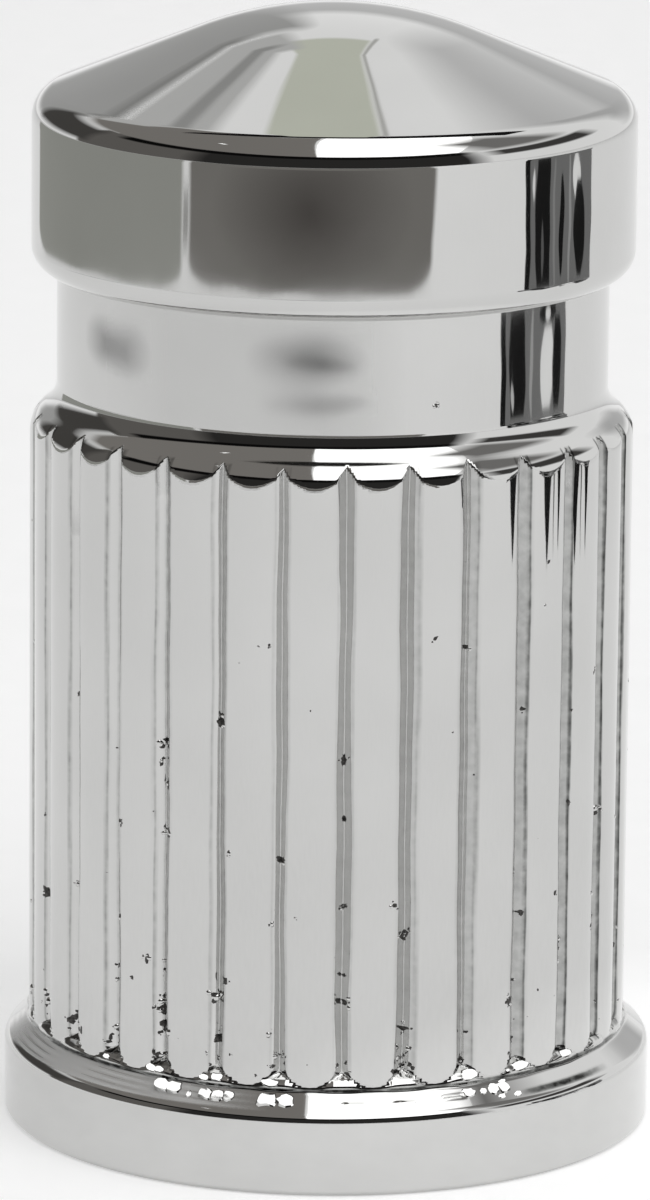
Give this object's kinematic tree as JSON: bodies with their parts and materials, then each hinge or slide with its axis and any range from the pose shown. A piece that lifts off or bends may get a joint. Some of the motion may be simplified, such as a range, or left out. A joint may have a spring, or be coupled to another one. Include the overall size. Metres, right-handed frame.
{
  "type": "tyre valve cap",
  "caption": "Long chrome-plated tyre valve cap with a blunt conical head, a plain neck, a reeded grip and a flanged open end, threaded inside for the valve stem.",
  "frame": {"origin": "centre of the open end, on the plane that the flange stands on", "axes": "+Z along the axis of the cap, from the open end to the tip; -Y is the front in the picture"},
  "size_m": [0.012, 0.012, 0.0208],
  "materials": {
    "chrome_plating": "bright plated",
    "seal_rubber": "matt"
  },
  "bodies": {
    "root": {"cap_body": "chrome_plating", "seal_washer": "seal_rubber"}
  },
  "joints": []
}
